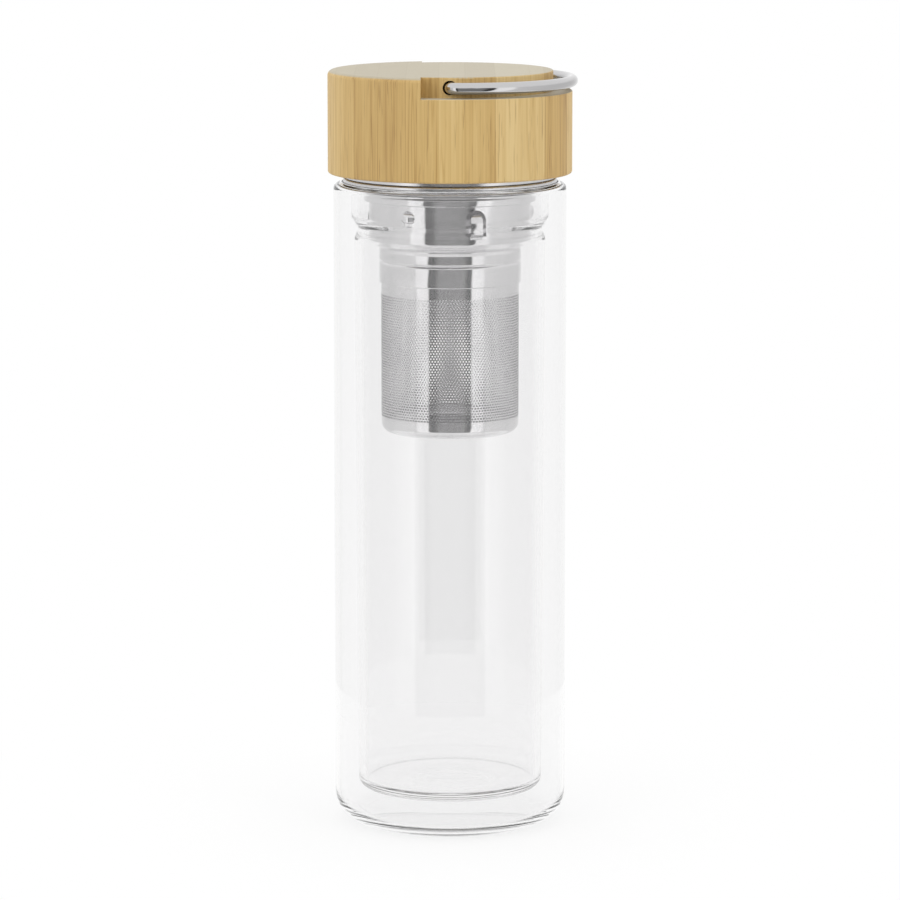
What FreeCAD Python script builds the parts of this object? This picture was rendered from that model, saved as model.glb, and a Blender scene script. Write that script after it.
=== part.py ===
import FreeCAD, Part
import math
import os

# Double-walled glass bottle with a steel tea and fruit infuser and a bamboo screw lid with a wire carrying loop.
# Millimetres. The origin is on the bottle's axis at the table, +Z is up and the loop lies towards +X.

# Clearances and the overrun that every cut shares
seat_clearance = 0.3
running_clearance = 0.4
cut_overrun = 2.0

# Outer glass jacket, whose side stands a little inside the lid's
jacket_inset = 1.6
jacket_wall = 2.0
base_thickness = 2.4
base_round = 8.5
base_inner_round = 5.5
shoulder_height = 185.6
shoulder_thickness = 1.1
shoulder_under_round = 1.2
crown_rise = 0.8
crown_round_share = 0.9

# Inner glass vessel, with its neck above the shoulder and its bead below
vessel_wall = 2.0
neck_rise = 17.4
rim_round = 0.8
bead_drop = 12.3
bead_depth = 2.1
bead_bore_extra = 0.9
bead_upper_rise = 3.1
bead_lower_drop = 2.9
bead_round = 1.6
body_inset_top = 0.9
body_inset_low = 1.7
vessel_bottom_height = 10.0
vessel_bottom_thickness = 2.6
vessel_bottom_round = 2.6
push_up_radius = 15.0
push_up_rise = 1.2

# Infuser: collar, perforated sleeve and base, all of thin steel sheet
sheet = 0.5
collar_stand = 10.5
lip_projection = 1.5
lip_height = 2.4
lip_round = 0.8
collar_gap = 3.1
collar_cylinder_height = 12.4
collar_cylinder_round = 2.8
taper_height = 0.8
groove_depth = 0.45
groove_height = 1.2
upper_rib_height = 2.4
ring_length = 10.4
rib_round = 0.4
ring_foot_round = 0.35
tongue_count = 3
first_tongue_degrees = 18.0
window_width = 5.8
window_height = 7.4
window_below_lip = 1.0
tongue_slot = 1.2
tongue_bulge = 1.05
bump_count = 3
first_bump_degrees = -30.0
bump_diameter = 4.3
bump_projection = 1.05
bump_below_lip = 3.6
sleeve_step = 3.4
weld_clearance = 0.1
sleeve_overlap = 8.0
basket_length = 69.4
basket_base_height = 4.0
basket_base_round = 2.8
perforation_columns = 30
perforation_rows = 10
perforation_width = 2.3
perforation_height = 34.0
perforation_foot = 5.2

# Lid: bamboo cap, thread insert, steel ring, liner disc and gasket
cap_radius = 35.0
cap_height = 29.4
cap_lift = 3.4
cap_top_round = 1.5
cap_foot_round = 0.7
cap_wall = 4.0
ledge_width = 5.5
ledge_depth = 5.8
ledge_round = 0.4
notch_start = 8.2
insert_wall = 1.5
thread_room = 1.2
neck_ring_entry = 1.6
neck_ring_bead = 1.9
neck_ring_groove = 0.5
neck_ring_round = 0.8
gasket_width = 4.0
gasket_thickness = 1.6
disc_thickness = 0.8
disc_dish = 1.0
disc_dish_round = 1.5

# Carrying loop of bent wire
wire_diameter = 3.3
wire_bend = 3.0
pivot_below_top = 3.0
pivot_hole_diameter = 4.1
pivot_depth = 9.0
pivot_end_gap = 1.0
loop_standoff = 0.75

# Heights and radii that follow from the sizes above
jacket_radius = cap_radius - jacket_inset
plateau_radius = cap_radius - ledge_width
insert_radius = cap_radius - cap_wall
insert_bore = insert_radius - insert_wall
neck_ring_radius = insert_radius - seat_clearance
neck_radius = insert_bore - thread_room
neck_bore = neck_radius - vessel_wall
body_radius_top = neck_radius - body_inset_top
body_radius_low = neck_radius - body_inset_low
collar_radius = neck_bore - collar_gap
sleeve_radius = collar_radius - sleeve_step
rim_height = shoulder_height + neck_rise
bead_height = shoulder_height - bead_drop
bead_outer = neck_radius - bead_depth
bead_bore = bead_outer - vessel_wall - bead_bore_extra
lip_top = bead_height + collar_stand
lip_foot = lip_top - lip_height
collar_foot = lip_foot - collar_cylinder_height
ring_radius = sleeve_radius + weld_clearance + sheet
ring_top = collar_foot - taper_height
ring_foot = ring_top - ring_length
basket_bottom = lip_top - basket_length
sleeve_foot = basket_bottom + basket_base_height
sleeve_top = ring_foot + sleeve_overlap
cap_foot = shoulder_height + cap_lift
cap_top = cap_foot + cap_height
ledge_height = cap_top - ledge_depth
neck_ring_foot = shoulder_height + seat_clearance
neck_ring_top = cap_foot + neck_ring_entry
gasket_foot = rim_height + seat_clearance
disc_foot = gasket_foot + gasket_thickness
disc_radius = insert_bore - running_clearance
insert_top = disc_foot + disc_thickness + seat_clearance
pivot_height = cap_top - pivot_below_top
loop_radius = plateau_radius + loop_standoff + wire_diameter / 2


def place(corner):
    """The point of the half plane y = 0 at an outline corner's radius and height."""
    return FreeCAD.Vector(corner[0], 0, corner[1])


def rounded_wire(corners):
    """Closed outline through (radius, height, rounding) corners, each rounded by a tangent arc."""
    runs = []
    for i, corner in enumerate(corners):
        here = place(corner)
        rounding = corner[2]
        if not rounding:
            runs.append((here, here, None))
            continue
        back = (place(corners[i - 1]) - here).normalize()
        ahead = (place(corners[(i + 1) % len(corners)]) - here).normalize()
        half = back.getAngle(ahead) / 2
        start = here + back * (rounding / math.tan(half))
        end = here + ahead * (rounding / math.tan(half))
        middle = here + (back + ahead).normalize() * (rounding / math.sin(half) - rounding)
        runs.append((start, end, middle))
    edges = []
    for i, (start, end, middle) in enumerate(runs):
        if middle:
            edges.append(Part.Arc(start, middle, end).toShape())
        edges.append(Part.LineSegment(end, runs[(i + 1) % len(runs)][0]).toShape())
    return Part.Wire(edges)


def turned(corners):
    """Solid of a whole turn about the bottle's axis of an outline."""
    face = Part.Face(rounded_wire(corners))
    return face.revolve(FreeCAD.Vector(0, 0, 0), FreeCAD.Vector(0, 0, 1), 360)


def cylinder(radius, foot, top):
    """Upright cylinder on the axis between two heights."""
    return Part.makeCylinder(radius, top - foot, FreeCAD.Vector(0, 0, foot))


def turned_to(shape, degrees):
    """A copy of a shape made at the front, turned about the axis to the right by some degrees."""
    copy = shape.copy()
    copy.rotate(FreeCAD.Vector(0, 0, 0), FreeCAD.Vector(0, 0, 1), degrees)
    return copy


def outer_jacket():
    """Glass wall with a flat base, closed to the neck by a thin fused shoulder with a raised crown."""
    crown = shoulder_height + crown_rise
    crown_bore = neck_ring_radius + running_clearance
    inside = jacket_radius - jacket_wall
    under = shoulder_height - shoulder_thickness
    return turned([
        (0, 0, 0),
        (jacket_radius, 0, base_round),
        (jacket_radius, crown, crown_round_share * (jacket_radius - crown_bore)),
        (crown_bore, crown, 0),
        (crown_bore, shoulder_height, 0),
        (neck_radius, shoulder_height, 0),
        (neck_radius, under, 0),
        (inside, under, shoulder_under_round),
        (inside, base_thickness, base_inner_round),
        (0, base_thickness, 0),
    ])


def inner_vessel():
    """Glass that holds the drink: plain neck, inward bead that carries the infuser, tapered body, raised floor."""
    bead_top = bead_height + bead_upper_rise
    bead_low = bead_height - bead_lower_drop
    floor = vessel_bottom_height + vessel_bottom_thickness
    wall = turned([
        (0, vessel_bottom_height, 0),
        (body_radius_low, vessel_bottom_height, vessel_bottom_round),
        (body_radius_top, bead_low, bead_round),
        (bead_outer, bead_height, bead_round),
        (neck_radius, bead_top, bead_round),
        (neck_radius, rim_height, rim_round),
        (neck_bore, rim_height, rim_round),
        (neck_bore, bead_top, bead_round),
        (bead_bore, bead_height, bead_round + vessel_wall / 2),
        (body_radius_top - vessel_wall, bead_low, bead_round),
        (body_radius_low - vessel_wall, floor, vessel_bottom_round - vessel_wall),
        (0, floor, 0),
    ])
    dome_radius = (push_up_radius ** 2 + push_up_rise ** 2) / (2 * push_up_rise)
    dome = Part.makeSphere(dome_radius, FreeCAD.Vector(0, 0, floor + push_up_rise - dome_radius))
    dome = dome.common(cylinder(push_up_radius, floor - vessel_bottom_thickness / 2, floor + push_up_rise))
    return wall.fuse(dome).removeSplitter()


def arch_prism(width, foot, top, inner, outer):
    """Block that reaches out to the front, arched at its top, for a window or the tongue in it."""
    half = width / 2
    spring = top - half
    low_left = FreeCAD.Vector(-half, -inner, foot)
    low_right = FreeCAD.Vector(half, -inner, foot)
    right = FreeCAD.Vector(half, -inner, spring)
    left = FreeCAD.Vector(-half, -inner, spring)
    crest = FreeCAD.Vector(0, -inner, top)
    edges = [
        Part.LineSegment(low_left, low_right).toShape(),
        Part.LineSegment(low_right, right).toShape(),
        Part.Arc(right, crest, left).toShape(),
        Part.LineSegment(left, low_left).toShape(),
    ]
    return Part.Face(Part.Wire(edges)).extrude(FreeCAD.Vector(0, inner - outer, 0))


def spring_tongue(foot, top):
    """Sheet tongue that bows outwards between its root and its tip, at the front."""
    bore = collar_radius - sheet
    middle = (foot + top) / 2
    arc_out = Part.Arc(
        place((collar_radius, top)),
        place((collar_radius + tongue_bulge, middle)),
        place((collar_radius, foot)),
    )
    arc_in = Part.Arc(place((bore, foot)), place((bore + tongue_bulge, middle)), place((bore, top)))
    edges = [
        arc_out.toShape(),
        Part.LineSegment(place((collar_radius, foot)), place((bore, foot))).toShape(),
        arc_in.toShape(),
        Part.LineSegment(place((bore, top)), place((collar_radius, top))).toShape(),
    ]
    band = Part.Face(Part.Wire(edges)).revolve(FreeCAD.Vector(0, 0, 0), FreeCAD.Vector(0, 0, 1), 360)
    width = window_width - 2 * tongue_slot
    return band.common(arch_prism(width, foot, top, bore - sheet, collar_radius + tongue_bulge + sheet))


def infuser_collar():
    """Drawn steel collar: rolled lip, cylinder with sprung tongues and bumps, taper, and a ribbed ring below."""
    bore = collar_radius - sheet
    lip_radius = collar_radius + lip_projection
    ring_bore = ring_radius - sheet
    rib_foot = ring_top - groove_height - upper_rib_height
    collar = turned([
        (bore, lip_top, lip_round / 2),
        (lip_radius, lip_top, lip_round),
        (lip_radius, lip_foot, lip_round / 2),
        (collar_radius, lip_foot, 0),
        (collar_radius, collar_foot, collar_cylinder_round),
        (ring_radius - groove_depth, ring_top, rib_round),
        (ring_radius, ring_top - groove_height, rib_round),
        (ring_radius, rib_foot, rib_round),
        (ring_radius - groove_depth, rib_foot - groove_height / 2, rib_round / 2),
        (ring_radius, rib_foot - groove_height, rib_round),
        (ring_radius, ring_foot, ring_foot_round),
        (ring_bore, ring_foot, 0),
        (ring_bore, ring_top - groove_height, 0),
        (ring_bore - groove_depth, ring_top + sheet, 0),
        (bore, collar_foot + sheet, collar_cylinder_round - sheet),
    ])
    window_top = lip_foot - window_below_lip
    window_foot = window_top - window_height
    outside = collar_radius + tongue_bulge + sheet
    window = arch_prism(window_width, window_foot, window_top, bore - sheet, outside)
    tongue = spring_tongue(window_foot - tongue_slot, window_top - tongue_slot)
    for i in range(tongue_count):
        degrees = first_tongue_degrees + i * 360 / tongue_count
        collar = collar.cut(turned_to(window, degrees))
        collar = collar.fuse(turned_to(tongue, degrees))
    ball_radius = (bump_diameter ** 2 / 4 + bump_projection ** 2) / (2 * bump_projection)
    centre = FreeCAD.Vector(0, ball_radius - collar_radius - bump_projection, lip_foot - bump_below_lip)
    bump = Part.makeSphere(ball_radius, centre).cut(cylinder(collar_radius - sheet / 2, collar_foot, lip_foot))
    dent = Part.makeSphere(ball_radius - sheet, centre)
    for i in range(bump_count):
        degrees = first_bump_degrees + i * 360 / bump_count
        collar = collar.fuse(turned_to(bump, degrees)).cut(turned_to(dent, degrees))
    return collar.removeSplitter()


def perforated_sleeve():
    """Steel tube with staggered rows of holes between two plain bands."""
    tube = cylinder(sleeve_radius, sleeve_foot, sleeve_top)
    tube = tube.cut(cylinder(sleeve_radius - sheet, sleeve_foot, sleeve_top))
    row_pitch = perforation_height / perforation_rows
    column_degrees = 360 / perforation_columns
    first_row = basket_bottom + perforation_foot + row_pitch / 2
    radius = perforation_width / math.sqrt(3)
    punches = []
    for row in range(perforation_rows):
        height = first_row + row * row_pitch
        corners = [
            FreeCAD.Vector(
                radius * math.cos(math.radians(60 * i + 30)),
                -sleeve_radius - sheet,
                height + radius * math.sin(math.radians(60 * i + 30)),
            )
            for i in range(6)
        ]
        face = Part.Face(Part.makePolygon(corners + corners[:1]))
        punch = face.extrude(FreeCAD.Vector(0, 3 * sheet, 0))
        for column in range(perforation_columns):
            punches.append(turned_to(punch, (column + row % 2 / 2) * column_degrees))
    return tube.cut(Part.makeCompound(punches))


def basket_base():
    """Plain drawn cup that closes the sleeve below."""
    bore = sleeve_radius - sheet
    return turned([
        (0, basket_bottom, 0),
        (sleeve_radius, basket_bottom, basket_base_round),
        (sleeve_radius, sleeve_foot, 0),
        (bore, sleeve_foot, 0),
        (bore, basket_bottom + sheet, basket_base_round - sheet),
        (0, basket_bottom + sheet, 0),
    ])


def lies_at(edge, height, radius):
    """Whether an edge is a stretch of the level circle of that height and radius about the axis."""
    if not isinstance(edge.Curve, Part.Circle):
        return False
    level = math.isclose(edge.Curve.Center.z, height) and math.isclose(abs(edge.Curve.Axis.z), 1)
    return level and math.isclose(edge.Curve.Radius, radius)


def bamboo_cap():
    """Turned bamboo block, bored for the insert, with a ledge round the loop's side and two wire holes."""
    cap = turned([
        (0, insert_top, 0),
        (insert_radius, insert_top, 0),
        (insert_radius, cap_foot, 0),
        (cap_radius, cap_foot, cap_foot_round),
        (cap_radius, cap_top, cap_top_round),
        (0, cap_top, 0),
    ])
    outer = cylinder(cap_radius + cut_overrun, ledge_height, cap_top + cut_overrun)
    trench = outer.cut(cylinder(plateau_radius, ledge_height, cap_top + cut_overrun))
    reach = 2 * (cap_radius + cut_overrun)
    side = Part.makeBox(reach, reach, reach, FreeCAD.Vector(-notch_start, -reach / 2, ledge_height))
    cap = cap.cut(trench.common(side))
    sharp = [edge for edge in cap.Edges if lies_at(edge, ledge_height, cap_radius)]
    sharp += [edge for edge in cap.Edges if lies_at(edge, cap_top, plateau_radius)]
    cap = cap.makeFillet(ledge_round, sharp)
    for side_sign in (-1, 1):
        mouth = FreeCAD.Vector(0, side_sign * (plateau_radius + cut_overrun), pivot_height)
        inwards = FreeCAD.Vector(0, -side_sign, 0)
        cap = cap.cut(Part.makeCylinder(pivot_hole_diameter / 2, pivot_depth + cut_overrun, mouth, inwards))
    return cap


def thread_insert():
    """Plastic ring in the cap's bore that screws on the glass neck; its thread is left plain here."""
    return turned([
        (insert_bore, neck_ring_top, 0),
        (insert_radius, neck_ring_top, 0),
        (insert_radius, insert_top, 0),
        (insert_bore, insert_top, 0),
    ])


def neck_ring():
    """Steel ring below the cap with a rolled foot that nests inside the glass crown."""
    bead_top = neck_ring_foot + neck_ring_bead
    return turned([
        (insert_bore, neck_ring_foot, 0),
        (neck_ring_radius, neck_ring_foot, neck_ring_round),
        (neck_ring_radius, bead_top, neck_ring_round),
        (neck_ring_radius - neck_ring_groove, bead_top, 0),
        (neck_ring_radius - neck_ring_groove, neck_ring_top, 0),
        (insert_bore, neck_ring_top, 0),
    ])


def lid_gasket():
    """Silicone washer between the glass rim and the liner disc."""
    outside = insert_bore - running_clearance
    return turned([
        (outside - gasket_width, gasket_foot, 0),
        (outside, gasket_foot, 0),
        (outside, disc_foot, 0),
        (outside - gasket_width, disc_foot, 0),
    ])


def liner_disc():
    """Steel disc over the drink, flat at its rim and dished down inside the gasket."""
    dish_radius = disc_radius - gasket_width - running_clearance
    dish_slope = dish_radius - disc_dish_round
    disc_top = disc_foot + disc_thickness
    return turned([
        (0, disc_foot - disc_dish, 0),
        (dish_slope, disc_foot - disc_dish, disc_dish_round),
        (dish_radius, disc_foot, 0),
        (disc_radius, disc_foot, 0),
        (disc_radius, disc_top, 0),
        (dish_radius, disc_top, 0),
        (dish_slope, disc_top - disc_dish, disc_dish_round),
        (0, disc_top - disc_dish, 0),
    ])


def carry_loop():
    """Wire bent to a U in one plane, with its two ends turned in to the pivot holes of the cap."""
    end = plateau_radius - pivot_depth + pivot_end_gap
    turn = wire_bend * math.sqrt(0.5)

    def spot(x, y):
        return FreeCAD.Vector(x, y, pivot_height)

    edges = [
        Part.LineSegment(spot(0, -end), spot(0, wire_bend - loop_radius)).toShape(),
        Part.Arc(
            spot(0, wire_bend - loop_radius),
            spot(wire_bend - turn, wire_bend - loop_radius - turn),
            spot(wire_bend, -loop_radius),
        ).toShape(),
        Part.Arc(
            spot(wire_bend, -loop_radius),
            spot(wire_bend + loop_radius, 0),
            spot(wire_bend, loop_radius),
        ).toShape(),
        Part.Arc(
            spot(wire_bend, loop_radius),
            spot(wire_bend - turn, loop_radius - wire_bend + turn),
            spot(0, loop_radius - wire_bend),
        ).toShape(),
        Part.LineSegment(spot(0, loop_radius - wire_bend), spot(0, end)).toShape(),
    ]
    section = Part.Wire(Part.makeCircle(wire_diameter / 2, spot(0, -end), FreeCAD.Vector(0, 1, 0)))
    return Part.Wire(edges).makePipeShell([section], True, False)


pieces = {
    "outer_jacket": outer_jacket,
    "inner_vessel": inner_vessel,
    "infuser_collar": infuser_collar,
    "perforated_sleeve": perforated_sleeve,
    "basket_base": basket_base,
    "bamboo_cap": bamboo_cap,
    "thread_insert": thread_insert,
    "neck_ring": neck_ring,
    "lid_gasket": lid_gasket,
    "liner_disc": liner_disc,
    "carry_loop": carry_loop,
}

os.makedirs("parts", exist_ok=True)
for name, make in pieces.items():
    shape = make()
    print(name, shape.ShapeType, len(shape.Solids), round(shape.Volume), shape.isValid())
    shape.exportStep("parts/" + name + ".step")
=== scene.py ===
import math

import bmesh
import bpy
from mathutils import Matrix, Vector


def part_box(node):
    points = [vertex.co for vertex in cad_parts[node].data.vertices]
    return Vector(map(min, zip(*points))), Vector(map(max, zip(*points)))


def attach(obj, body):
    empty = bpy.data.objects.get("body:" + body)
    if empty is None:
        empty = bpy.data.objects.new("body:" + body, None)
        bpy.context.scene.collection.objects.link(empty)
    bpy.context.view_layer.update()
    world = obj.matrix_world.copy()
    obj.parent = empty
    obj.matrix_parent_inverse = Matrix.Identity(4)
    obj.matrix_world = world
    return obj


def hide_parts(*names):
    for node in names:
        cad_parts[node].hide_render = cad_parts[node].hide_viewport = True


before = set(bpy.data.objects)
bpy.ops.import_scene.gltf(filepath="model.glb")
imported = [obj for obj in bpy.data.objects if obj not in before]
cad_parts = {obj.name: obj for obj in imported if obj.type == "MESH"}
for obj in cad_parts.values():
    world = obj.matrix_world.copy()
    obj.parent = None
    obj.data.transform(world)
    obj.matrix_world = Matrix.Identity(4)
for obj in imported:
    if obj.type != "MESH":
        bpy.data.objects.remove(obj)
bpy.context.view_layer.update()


# The double-wall glass.
# Two borosilicate tubes, blown to shape and fused into one at the shoulder, with still air shut in between.
# The open neck above the shoulder carries a moulded screw thread, and the inward bead carries the infuser.
class Shade:
    """A value in a node tree. Sums on it add Math nodes, and add() brings in any other node."""

    def __init__(self, tree, socket=None):
        self.tree = tree
        self.socket = socket

    def add(self, kind, settings, sockets, output=0):
        node = self.tree.nodes.new("ShaderNode" + kind)
        for name, value in settings.items():
            if name == "stops":
                self.set_stops(node.color_ramp.elements, value)
            else:
                setattr(node, name, value)
        for key, value in sockets.items():
            self.feed(node.inputs[key], value)
        return Shade(self.tree, node.outputs[output]) if node.outputs else None

    def set_stops(self, elements, stops):
        while len(elements) < len(stops):
            elements.new(1.0)
        for element, (position, colour) in zip(elements, stops):
            element.position = position
            element.color = (*colour, 1.0)

    def feed(self, target, value):
        if isinstance(value, Shade):
            self.tree.links.new(value.socket, target)
        else:
            target.default_value = value

    def other(self, output):
        return Shade(self.tree, self.socket.node.outputs[output])

    def maths(self, operation, first, second):
        return self.add("Math", {"operation": operation}, {0: first, 1: second})

    def blend(self, factor, first, second):
        return self.add("Mix", {"data_type": "RGBA"}, {0: factor, 6: first, 7: second}, 2)

    def ramp(self, start, end, low, high):
        """This value's stretch from start to end, eased on to low and high."""
        return self.add("MapRange", {"interpolation_type": "SMOOTHSTEP"}, {
            "Value": self,
            "From Min": start,
            "From Max": end,
            "To Min": low,
            "To Max": high,
        })

    def __add__(self, other):
        return self.maths("ADD", self, other)

    def __radd__(self, other):
        return self.maths("ADD", other, self)

    def __sub__(self, other):
        return self.maths("SUBTRACT", self, other)

    def __rsub__(self, other):
        return self.maths("SUBTRACT", other, self)

    def __mul__(self, other):
        return self.maths("MULTIPLY", self, other)

    def __rmul__(self, other):
        return self.maths("MULTIPLY", other, self)

    def __truediv__(self, other):
        return self.maths("DIVIDE", self, other)

    def __rtruediv__(self, other):
        return self.maths("DIVIDE", other, self)


def new_finish(name):
    """Material with its node tree as a Shade, and a function that fills its shader's sockets."""
    material = bpy.data.materials.new(name)
    material.use_nodes = True
    shade = Shade(material.node_tree)
    surface = material.node_tree.nodes["Principled BSDF"]

    def fill(sockets):
        for key, value in sockets.items():
            shade.feed(surface.inputs[key], value)

    return material, shade, fill


def add_piece(bm, name, body, nodes, material):
    """Puts a finished mesh in the scene as a piece that rides a body and stands for the nodes."""
    mesh = bpy.data.meshes.new(name)
    bm.to_mesh(mesh)
    bm.free()
    mesh.materials.append(material)
    piece = bpy.data.objects.new(name, mesh)
    bpy.context.scene.collection.objects.link(piece)
    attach(piece, body)
    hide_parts(*nodes)
    return piece


def shade_round(bm, sharpest):
    """Shades the mesh smooth, apart from the edges with a sharper bend."""
    for face in bm.faces:
        face.smooth = True
    for edge in bm.edges:
        edge.smooth = edge.calc_face_angle(0) < sharpest


def keep_flat(piece):
    """Lets the large faces set the shading at their edges, so that straight runs stay straight."""
    weights = piece.modifiers.new("large_faces_first", "WEIGHTED_NORMAL")
    weights.keep_sharp = True


def draw_outline(bm, corners, segments):
    """Half section of a turned piece: the corners (radius, height, rounding) joined and rounded."""
    row = [bm.verts.new((radius, 0, height)) for radius, height, rounding in corners]
    for start, end in zip(row, row[1:]):
        bm.edges.new((start, end))
    places = [Vector((radius, height)) for radius, height, rounding in corners]
    for index, (radius, height, rounding) in enumerate(corners):
        if rounding:
            turn = (places[index] - places[index - 1]).angle(places[index + 1] - places[index])
            bmesh.ops.bevel(
                bm,
                geom=[row[index]],
                offset=rounding * math.tan(turn / 2),
                offset_type="OFFSET",
                segments=segments,
                profile=0.5,
                affect="VERTICES",
                material=-1,
                clamp_overlap=False,
            )
    return row


def spin_outline(bm, steps):
    """Turns the drawn half section once about the axis and closes the shell."""
    bmesh.ops.spin(
        bm,
        geom=bm.verts[:] + bm.edges[:],
        cent=(0, 0, 0),
        axis=(0, 0, 1),
        dvec=(0, 0, 0),
        angle=math.tau,
        steps=steps,
        use_merge=True,
    )
    bmesh.ops.remove_doubles(bm, verts=bm.verts[:], dist=weld_distance)
    bmesh.ops.recalc_face_normals(bm, faces=bm.faces[:])


def raise_thread(bm, radius, foot, top, depth, shift):
    """Raises a right-hand thread by depth on the turned wall of that radius, faded out at both ends."""
    for vert in bm.verts:
        across = math.hypot(vert.co.x, vert.co.y)
        if abs(across - radius) < wall_tolerance and foot < vert.co.z < top:
            lead = vert.co.z / thread_pitch - math.atan2(vert.co.y, vert.co.x) / math.tau + shift
            ridge = max(0, math.cos(math.tau * lead)) ** thread_fullness
            ends = min(1, (vert.co.z - foot) / thread_fade, (top - vert.co.z) / thread_fade)
            out = 1 + depth * ridge * ends / across
            vert.co.x *= out
            vert.co.y *= out


mm = 0.001
weld_distance = 0.001 * mm
jacket_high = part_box("outer_jacket")[1]
vessel_low, vessel_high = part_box("inner_vessel")
ring_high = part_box("neck_ring")[1]
jacket_radius = jacket_high.x
jacket_wall = 1.0 * mm
base_thickness = 2.4 * mm
base_round = 8.5 * mm
base_inner_round = 6.2 * mm
crown_height = jacket_high.z
crown_rise = 0.8 * mm
crown_clearance = 0.4 * mm
crown_bore = ring_high.x + crown_clearance
crown_round = 0.9 * (jacket_radius - crown_bore)
crown_edge = 0.5 * mm
shoulder_height = crown_height - crown_rise
shoulder_wall = 0.4 * mm
shoulder_under = shoulder_height - shoulder_wall
crown_hollow_bore = crown_bore + crown_edge
crown_hollow_round = 0.7 * mm
neck_radius = vessel_high.x
vessel_wall = 2.0 * mm
rim_height = vessel_high.z
rim_round = 0.8 * mm
bead_height = 173.3 * mm
bead_rise = 3.1 * mm
bead_drop = 2.9 * mm
bead_depth = 2.1 * mm
bead_wall = 2.9 * mm
bead_top = bead_height + bead_rise
bead_foot = bead_height - bead_drop
bead_radius = neck_radius - bead_depth
bead_bore = bead_radius - bead_wall
bead_round = 1.6 * mm
body_radius_top = 27.4 * mm
body_radius_low = 26.6 * mm
vessel_foot = vessel_low.z
floor_thickness = 2.6 * mm
vessel_floor = vessel_foot + floor_thickness
vessel_round = 2.6 * mm
push_up_radius = 15.0 * mm
push_up_rise = 1.2 * mm
plain_neck = 4.0 * mm
plain_rim = 2.0 * mm
thread_foot = shoulder_height + plain_neck
thread_top = rim_height - plain_rim
thread_pitch = 4.0 * mm
thread_depth = 0.9 * mm
thread_fade = 1.0 * mm
thread_fullness = 0.7
thread_rows = 48
wall_tolerance = 0.1 * mm
turned_crease = math.radians(40)
glass_steps = 192
arc_segments = 10

glass = bmesh.new()
outside = draw_outline(glass, [
    (0, 0, 0),
    (jacket_radius, 0, base_round),
    (jacket_radius, crown_height, crown_round),
    (crown_bore, crown_height, 0),
    (crown_bore, shoulder_height, 0),
    (neck_radius, shoulder_height, 0),
    (neck_radius, thread_foot, 0),
    (neck_radius, thread_top, 0),
    (neck_radius, rim_height, rim_round),
    (neck_radius - vessel_wall, rim_height, rim_round),
    (neck_radius - vessel_wall, bead_top, bead_round),
    (bead_bore, bead_height, bead_round + vessel_wall / 2),
    (body_radius_top - vessel_wall, bead_foot, bead_round),
    (body_radius_low - vessel_wall, vessel_floor, vessel_round - vessel_wall),
    (push_up_radius, vessel_floor, 0),
    (push_up_radius / 2, vessel_floor + 0.75 * push_up_rise, 0),
    (0, vessel_floor + push_up_rise, 0),
], arc_segments)
threaded_neck = glass.edges.get((outside[6], outside[7]))
bmesh.ops.subdivide_edges(glass, edges=[threaded_neck], cuts=thread_rows)
spin_outline(glass, glass_steps)
raise_thread(glass, neck_radius, thread_foot, thread_top, thread_depth, 0)

air_gap = bmesh.new()
draw_outline(air_gap, [
    (0, base_thickness, 0),
    (jacket_radius - jacket_wall, base_thickness, base_inner_round),
    (jacket_radius - jacket_wall, crown_height - jacket_wall, crown_hollow_round),
    (crown_hollow_bore, crown_height - jacket_wall, 0),
    (crown_hollow_bore, shoulder_under, 0),
    (neck_radius, shoulder_under, 0),
    (neck_radius, bead_top, bead_round),
    (bead_radius, bead_height, bead_round),
    (body_radius_top, bead_foot, bead_round),
    (body_radius_low, vessel_foot, vessel_round),
    (0, vessel_foot, 0),
], arc_segments)
spin_outline(air_gap, glass_steps)
bmesh.ops.reverse_faces(air_gap, faces=air_gap.faces[:])
gap_mesh = bpy.data.meshes.new("air_gap")
air_gap.to_mesh(gap_mesh)
air_gap.free()
glass.from_mesh(gap_mesh)
bpy.data.meshes.remove(gap_mesh)
shade_round(glass, turned_crease)

clear_glass, shade, fill = new_finish("clear_glass")
spot = shade.add("TexCoord", {}, {}, "Object")
drawn_out = shade.add("Mapping", {}, {"Vector": spot, "Scale": (1, 1, 0.15)})
ripple = shade.add("TexNoise", {}, {"Vector": drawn_out, "Scale": 60.0, "Detail": 1.0})
fill({
    "Base Color": (0.968, 0.967, 0.968, 1),
    "Roughness": 0.0,
    "IOR": 1.47,
    "Transmission Weight": 1.0,
    "Normal": shade.add("Bump", {}, {"Strength": 0.05, "Distance": 0.0002, "Height": ripple}),
})
both_walls = ["outer_jacket", "inner_vessel"]
keep_flat(add_piece(glass, "glass_bottle", "bottle", both_walls, clear_glass))


# The infuser's collar and basket floor.
# Drawn stainless steel, rolled to ribs, with sprung tongues cut from the collar and round bumps.
# The tongues click over the glass bead, and the floor is pressed over the end of the sleeve and welded.
def smooth_copy(name, body, node, material, sharpest=math.radians(28)):
    """Piece with the node's own shape, its triangles joined and its round faces shaded smooth."""
    bm = bmesh.new()
    bm.from_mesh(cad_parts[node].data)
    bmesh.ops.remove_doubles(bm, verts=bm.verts[:], dist=weld_distance)
    shade_round(bm, sharpest)
    keep_flat(add_piece(bm, name, body, [node], material))


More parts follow.
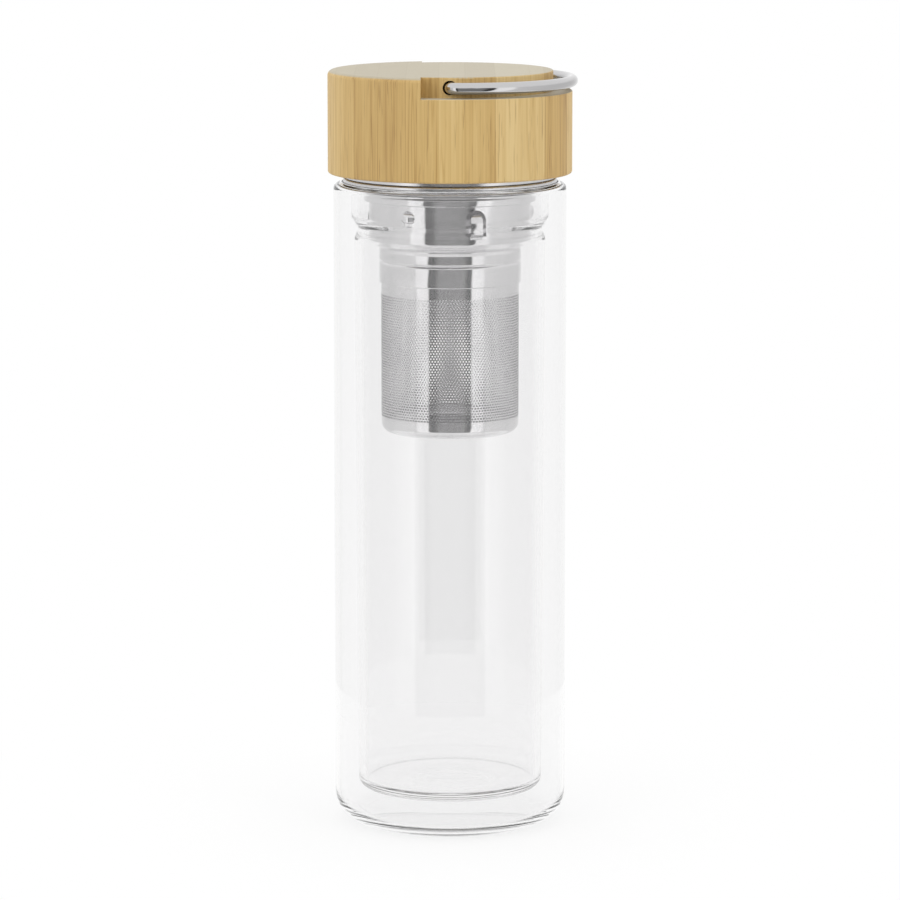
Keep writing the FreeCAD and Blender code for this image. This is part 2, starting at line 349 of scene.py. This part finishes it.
brushed_steel, shade, fill = new_finish("brushed_steel")
spot = shade.add("TexCoord", {}, {}, "Object")
fine_lines = shade.add("Mapping", {}, {"Vector": spot, "Scale": (1, 1, 14)})
brushing = shade.add("TexNoise", {}, {"Vector": fine_lines, "Scale": 260.0, "Detail": 3.0})
tarnish = shade.add("TexNoise", {}, {"Vector": spot, "Scale": 90.0, "Detail": 2.0})
fill({
    "Base Color": shade.add("ValToRGB", {"stops": [
        (0.3, (0.77, 0.765, 0.77)),
        (0.7, (0.84, 0.835, 0.84)),
    ]}, {"Fac": tarnish}),
    "Metallic": 1.0,
    "Roughness": 0.06 + 0.06 * brushing,
    "Normal": shade.add("Bump", {}, {"Strength": 0.02, "Distance": 0.0001, "Height": brushing}),
})
smooth_copy("collar", "infuser", "infuser_collar", brushed_steel)
smooth_copy("basket_floor", "infuser", "basket_base", brushed_steel)


# The infuser's sleeve.
# Thin stainless sheet, etched with about six thousand fine holes in staggered rows, rolled up and welded.
# It stands inside the collar's foot, and its lower end goes into the pressed floor.
sleeve_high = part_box("perforated_sleeve")[1]
sleeve_radius = sleeve_high.x
sleeve_sheet = 0.4 * mm
hole_columns = 143
hole_width = 0.57 * mm
holes_foot = 119.6 * mm
cell_width = math.tau * sleeve_radius / hole_columns
cell_side = cell_width / math.sqrt(3)
row_step = 1.5 * cell_side
lower_rows = 24
upper_rows = 23


def sleeve_part(name, first_row, rows, plain_end, upwards):
    """Some rows of holes, rolled round the axis, with the plain sheet drawn on from them to one end."""
    bm = bmesh.new()
    bmesh.ops.create_circle(bm, cap_ends=True, segments=6, radius=cell_side)
    rim = (cell_width - hole_width) / 2
    bmesh.ops.inset_individual(bm, faces=bm.faces[:], thickness=rim, use_even_offset=True)
    middle = min(bm.faces, key=lambda face: face.calc_center_median().length)
    bmesh.ops.delete(bm, geom=[middle], context="FACES_ONLY")
    cell = bm.verts[:] + bm.edges[:] + bm.faces[:]
    for column in range(1, hole_columns):
        copied = bmesh.ops.duplicate(bm, geom=cell)["geom"]
        verts = [part for part in copied if isinstance(part, bmesh.types.BMVert)]
        bmesh.ops.translate(bm, verts=verts, vec=(column * cell_width, 0, 0))
    bmesh.ops.remove_doubles(bm, verts=bm.verts[:], dist=weld_distance)
    row = bm.verts[:] + bm.edges[:] + bm.faces[:]
    for step in range(1, rows):
        copied = bmesh.ops.duplicate(bm, geom=row)["geom"]
        verts = [part for part in copied if isinstance(part, bmesh.types.BMVert)]
        bmesh.ops.translate(bm, verts=verts, vec=(step % 2 * cell_width / 2, step * row_step, 0))
    foot = holes_foot + first_row * row_step
    slant = first_row % 2 * cell_width / 2
    for vert in bm.verts:
        angle = (vert.co.x + slant) / sleeve_radius
        height = foot + vert.co.y
        vert.co = (sleeve_radius * math.cos(angle), sleeve_radius * math.sin(angle), height)
    bmesh.ops.remove_doubles(bm, verts=bm.verts[:], dist=weld_distance)
    bmesh.ops.recalc_face_normals(bm, faces=bm.faces[:])
    edge_row = foot + (rows - 1) * row_step if upwards else foot
    side = 1 if upwards else -1
    past_holes = 0.4 * cell_side
    border = [
        edge for edge in bm.edges
        if edge.is_boundary and all(side * (vert.co.z - edge_row) > past_holes for vert in edge.verts)
    ]
    drawn = bmesh.ops.extrude_edge_only(bm, edges=border)["geom"]
    for part in drawn:
        if isinstance(part, bmesh.types.BMVert):
            part.co.z = plain_end
        if isinstance(part, bmesh.types.BMFace):
            part.smooth = True
    for edge in bm.edges:
        edge.smooth = not edge.is_boundary
    bmesh.ops.recalc_face_normals(bm, faces=bm.faces[:])
    piece = add_piece(bm, name, "infuser", ["perforated_sleeve"], brushed_steel)
    wall = piece.modifiers.new("sheet", "SOLIDIFY")
    wall.thickness = sleeve_sheet
    wall.offset = -1


sleeve_part("sleeve_lower", 0, lower_rows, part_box("basket_base")[1].z, False)
sleeve_part("sleeve_upper", lower_rows, upper_rows, sleeve_high.z, True)


# The seal and the plate in the lid.
# A moulded silicone washer lies on the glass rim, and a pressed steel disc above it shields the wood.
# Both sit loose in the plastic ring and come off with the lid.
soft_silicone, shade, fill = new_finish("soft_silicone")
spot = shade.add("TexCoord", {}, {}, "Object")
bloom = shade.add("TexNoise", {}, {"Vector": spot, "Scale": 700.0, "Detail": 2.0})
fill({
    "Base Color": (0.80, 0.81, 0.82, 1),
    "Roughness": 0.45 + 0.2 * bloom,
    "Normal": shade.add("Bump", {}, {"Strength": 0.1, "Distance": 0.0001, "Height": bloom}),
})
smooth_copy("washer", "lid_seal", "lid_gasket", soft_silicone)

satin_steel, shade, fill = new_finish("satin_steel")
spot = shade.add("TexCoord", {}, {}, "Object")
turned_lines = shade.add("Mapping", {}, {"Vector": spot, "Scale": (1, 1, 8)})
satin = shade.add("TexNoise", {}, {"Vector": turned_lines, "Scale": 300.0, "Detail": 3.0})
fill({
    "Base Color": (0.74, 0.735, 0.745, 1),
    "Metallic": 1.0,
    "Roughness": 0.2 + 0.12 * satin,
})
smooth_copy("plate", "lid_plate", "liner_disc", satin_steel)


# The threaded ring in the lid.
# Injection-moulded white plastic, glued into the wood. Its thread runs between the turns on the glass,
# and the bore above the thread is plain, so that the ring can rise past the washer.
moulded_plastic, shade, fill = new_finish("moulded_plastic")
spot = shade.add("TexCoord", {}, {}, "Object")
mould_grain = shade.add("TexNoise", {}, {"Vector": spot, "Scale": 900.0, "Detail": 2.0})
fill({
    "Base Color": (0.83, 0.83, 0.81, 1),
    "Roughness": 0.35 + 0.15 * mould_grain,
    "Normal": shade.add("Bump", {}, {"Strength": 0.1, "Distance": 0.0001, "Height": mould_grain}),
})
insert_low, insert_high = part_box("thread_insert")
insert_wall = 1.5 * mm
insert_bore = insert_high.x - insert_wall
insert_round = 0.3 * mm
insert_foot = insert_low.z + insert_round
plain_bore = 8.0 * mm
insert_top = insert_high.z - plain_bore
between_turns = 0.5
threaded_ring = bmesh.new()
bore_line = draw_outline(threaded_ring, [
    (insert_high.x, insert_low.z, 0),
    (insert_high.x, insert_high.z, 0),
    (insert_bore, insert_high.z, 0),
    (insert_bore, insert_top, 0),
    (insert_bore, insert_foot, 0),
    (insert_bore + insert_round, insert_low.z, 0),
    (insert_high.x, insert_low.z, 0),
], arc_segments)
threaded_bore = threaded_ring.edges.get((bore_line[3], bore_line[4]))
bmesh.ops.subdivide_edges(threaded_ring, edges=[threaded_bore], cuts=thread_rows)
spin_outline(threaded_ring, glass_steps)
raise_thread(threaded_ring, insert_bore, insert_foot, insert_top, -thread_depth, between_turns)
shade_round(threaded_ring, turned_crease)
add_piece(threaded_ring, "threaded_ring", "lid", ["thread_insert"], moulded_plastic)


# The bright ring under the lid.
# Stainless strip rolled to a bead and a groove, with a satin face, pressed into the foot of the wood.
# It hides the gap over the glass shoulder.
smooth_copy("bright_ring", "lid", "neck_ring", satin_steel)


# The bamboo cap.
# A block glued up from upright bamboo strips and turned on a lathe, then sanded and oiled.
# Half its top is cut down to a ledge for the loop, and two holes are drilled for the loop's ends.
bamboo, shade, fill = new_finish("bamboo")
spot = shade.add("TexCoord", {}, {}, "Object")
facing = shade.add("TexCoord", {}, {}, "Normal")
along_x = shade.add("SeparateXYZ", {}, {"Vector": spot})
along_y = along_x.other("Y")
along_z = along_x.other("Z")
strips_per_metre = 135
strip_shift = 0.3
strip_place = {"W": along_x * strips_per_metre + strip_shift, "Scale": 1.0}
strip = shade.add("TexVoronoi", {"voronoi_dimensions": "1D"}, strip_place, "Color")
strip_tone = shade.add("SeparateColor", {}, {"Color": strip})
glue_line = shade.add("TexVoronoi", {
    "voronoi_dimensions": "1D",
    "feature": "DISTANCE_TO_EDGE",
}, strip_place, "Distance")


def stretched_noise(per_metre, lengthways, detail):
    """Noise drawn out along the strips: so many features to the metre across and lengthways."""
    place = shade.add("CombineXYZ", {}, {
        "X": along_x * per_metre + strip_tone * 31,
        "Y": along_y * per_metre,
        "Z": along_z * lengthways + strip_tone * 57,
    })
    return shade.add("TexNoise", {}, {"Vector": place, "Scale": 1.0, "Detail": detail})


cloud = stretched_noise(160, 9, 2.0)
fibre = stretched_noise(1500, 30, 2.0)
vein_noise = stretched_noise(520, 11, 1.0)
dash_noise = stretched_noise(2400, 90, 1.0)
dark_vein = shade.maths("ABSOLUTE", vein_noise - 0.5, 0).ramp(0.0, 0.03, 1.0, 0.0)
dash = dash_noise.ramp(0.63, 0.72, 0.0, 1.0)
glue = glue_line.ramp(0.0, 0.03, 1.0, 0.0)
tone = 0.4 * cloud + 0.35 * strip_tone + 0.45 * fibre - 0.16 * dark_vein - 0.1 * glue - 0.12
grain = shade.add("ValToRGB", {"stops": [
    (0.12, (0.40, 0.235, 0.075)),
    (0.32, (0.555, 0.365, 0.132)),
    (0.5, (0.64, 0.445, 0.18)),
    (0.72, (0.72, 0.535, 0.25)),
]}, {"Fac": tone})
side_colour = shade.blend(0.45 * dash, grain, (0.30, 0.165, 0.055, 1))
# Faces that look up get a paler, greyer colour: partly the end grain's own tone, partly painted sheen
# standing in for light grazing the top.
end_grain_and_painted_sheen = shade.blend(
    0.5 * fibre.ramp(0.35, 0.7, 0.0, 1.0) + 0.5 * strip_tone - 0.5 * glue,
    (0.42, 0.385, 0.295, 1),
    (0.475, 0.445, 0.355, 1),
)
# This mask of upward faces lays the end-grain tone and the painted sheen over the top of the cap.
upright = shade.add("SeparateXYZ", {}, {"Vector": facing}, "Z")
fill({
    "Base Color": shade.blend(upright.ramp(0.5, 0.85, 0.0, 0.9), side_colour, end_grain_and_painted_sheen),
    "Roughness": 0.42 + 0.2 * fibre,
    "Normal": shade.add("Bump", {}, {"Strength": 0.12, "Distance": 0.0002, "Height": fibre - 0.6 * dash}),
})
smooth_copy("cap", "lid", "bamboo_cap", bamboo)


# The carrying loop.
# Stainless wire, bent to a bow and polished, with its ends sprung into the two holes of the cap.
# It lies in the ledge and swings up to carry the bottle.
polished_steel, shade, fill = new_finish("polished_steel")
spot = shade.add("TexCoord", {}, {}, "Object")
scuffs = shade.add("TexNoise", {}, {"Vector": spot, "Scale": 400.0, "Detail": 4.0})
fill({
    "Base Color": (0.58, 0.575, 0.58, 1),
    "Metallic": 1.0,
    "Roughness": 0.05 + 0.08 * scuffs,
})
smooth_copy("loop", "loop", "carry_loop", polished_steel)


# The studio.
# A round white table, a white wall behind, grey walls to the sides and two tall soft boxes.
# The side where the camera stands is dark, which gives the steel its dark stripe.
table_radius = 0.2
table_drop = 0.2 * mm
shadow_start = 0.048
shadow_reach = 0.16
shadow_strength = 0.15
table = bmesh.new()
bmesh.ops.create_circle(table, cap_ends=True, segments=96, radius=table_radius)
bmesh.ops.translate(table, verts=table.verts[:], vec=(0, 0, -table_drop))
table_mesh = bpy.data.meshes.new("table")
table.to_mesh(table_mesh)
table.free()
table_top = bpy.data.objects.new("table", table_mesh)
bpy.context.scene.collection.objects.link(table_top)
white_table = bpy.data.materials.new("white_table")
white_table.use_nodes = True
white_table.node_tree.nodes.clear()
shade = Shade(white_table.node_tree)
spot = shade.add("TexCoord", {}, {}, "Object")
away = shade.add("VectorMath", {"operation": "LENGTH"}, {0: spot}, "Value")
near = away.ramp(shadow_start, shadow_reach, shadow_strength, 0.0)
lit = shade.add("BsdfDiffuse", {}, {"Color": (0.9, 0.9, 0.9, 1)})
glow = shade.add("Emission", {}, {"Color": (1, 1, 1, 1), "Strength": 1.0})
bounced = shade.add("LightPath", {}, {}, "Is Diffuse Ray")
seen = shade.add("MixShader", {}, {0: near, 1: glow, 2: lit})
table_look = shade.add("MixShader", {}, {0: bounced, 1: seen, 2: lit})
shade.add("OutputMaterial", {}, {"Surface": table_look})
table_mesh.materials.append(white_table)

world = bpy.data.worlds.new("studio")
world.use_nodes = True
world.node_tree.nodes.clear()
bpy.context.scene.world = world
shade = Shade(world.node_tree)
spot = shade.add("TexCoord", {}, {}, "Generated")
across = shade.add("SeparateXYZ", {}, {"Vector": spot})
ahead = across.other("Y")
up = across.other("Z")
bearing = shade.maths("ARCTAN2", across, 0 - ahead) / math.tau + 0.5


def wall_stop(degrees, level):
    """Brightness of the studio wall at a bearing from the camera's side, to the right positive."""
    return (degrees / 360 + 0.5, (level, level, level))


walls = shade.add("ValToRGB", {"stops": [
    wall_stop(-180, 1.0),
    wall_stop(-165, 0.9),
    wall_stop(-140, 0.74),
    wall_stop(-100, 0.76),
    wall_stop(-58, 0.84),
    wall_stop(-54, 1.25),
    wall_stop(-36, 1.25),
    wall_stop(-34, 0.02),
    wall_stop(-24, 0.06),
    wall_stop(-17, 0.26),
    wall_stop(22, 0.26),
    wall_stop(28, 0.05),
    wall_stop(34, 0.02),
    wall_stop(36, 1.25),
    wall_stop(54, 1.25),
    wall_stop(58, 0.84),
    wall_stop(100, 0.76),
    wall_stop(140, 0.74),
    wall_stop(165, 0.9),
    wall_stop(180, 1.0),
]}, {"Fac": bearing})
overhead = up.ramp(0.1, 0.35, 0.0, 1.0)
room = shade.blend(overhead, walls, (1, 1, 1, 1))
to_camera = shade.add("LightPath", {}, {}, "Is Camera Ray")
through_glass = shade.add("LightPath", {}, {}, "Is Transmission Ray")
mirrored = shade.add("LightPath", {}, {}, "Glossy Depth")
crossed = shade.add("LightPath", {}, {}, "Transmission Depth")
once = shade.maths("COMPARE", mirrored, 1.0)
off_metal = once * shade.maths("GREATER_THAN", crossed, 6.5)
white = shade.maths("MAXIMUM", to_camera, through_glass) * (1 - off_metal)
backdrop = shade.blend(white, room, (1, 1, 1, 1))
background = shade.add("Background", {}, {"Color": backdrop, "Strength": 1.0})
shade.add("OutputWorld", {}, {"Surface": background})


lamp_aim = Vector((0, 0, 0.15))


def soft_lamp(name, place, width, watts):
    """Square soft lamp that faces the bottle and stays out of its reflections."""
    lamp = bpy.data.lights.new(name, "AREA")
    lamp.size = width
    lamp.energy = watts
    holder = bpy.data.objects.new(name, lamp)
    bpy.context.scene.collection.objects.link(holder)
    holder.location = place
    aim = lamp_aim - Vector(place)
    holder.rotation_euler = aim.to_track_quat("-Z", "Y").to_euler()
    holder.visible_glossy = False
    holder.visible_transmission = False
    holder.visible_camera = False


soft_lamp("left_lamp", (-0.9, -1.0, 0.7), 0.6, 3.4)
soft_lamp("right_lamp", (0.9, -1.0, 0.7), 0.6, 2.9)
soft_lamp("top_lamp", (0.0, 0.2, 1.4), 0.8, 2.0)


# The camera.
# It stands a long step in front of the bottle, a little above the lid, and looks down on it.
image_width = 900
camera_distance = 1.3
camera_height = 0.315
aim_height = 0.1084
focal_pixels = 4550
camera = bpy.data.cameras.new("camera")
camera.sensor_width = 36.0
camera.lens = focal_pixels / image_width * camera.sensor_width
viewer = bpy.data.objects.new("camera", camera)
bpy.context.scene.collection.objects.link(viewer)
viewer.location = (0, -camera_distance, camera_height)
aim = Vector((0, 0, aim_height)) - viewer.location
viewer.rotation_euler = aim.to_track_quat("-Z", "Y").to_euler()
bpy.context.scene.camera = viewer
bpy.context.scene.view_settings.view_transform = "Standard"
bpy.context.scene.cycles.max_bounces = 64
bpy.context.scene.cycles.transmission_bounces = 64
bpy.context.scene.cycles.glossy_bounces = 32
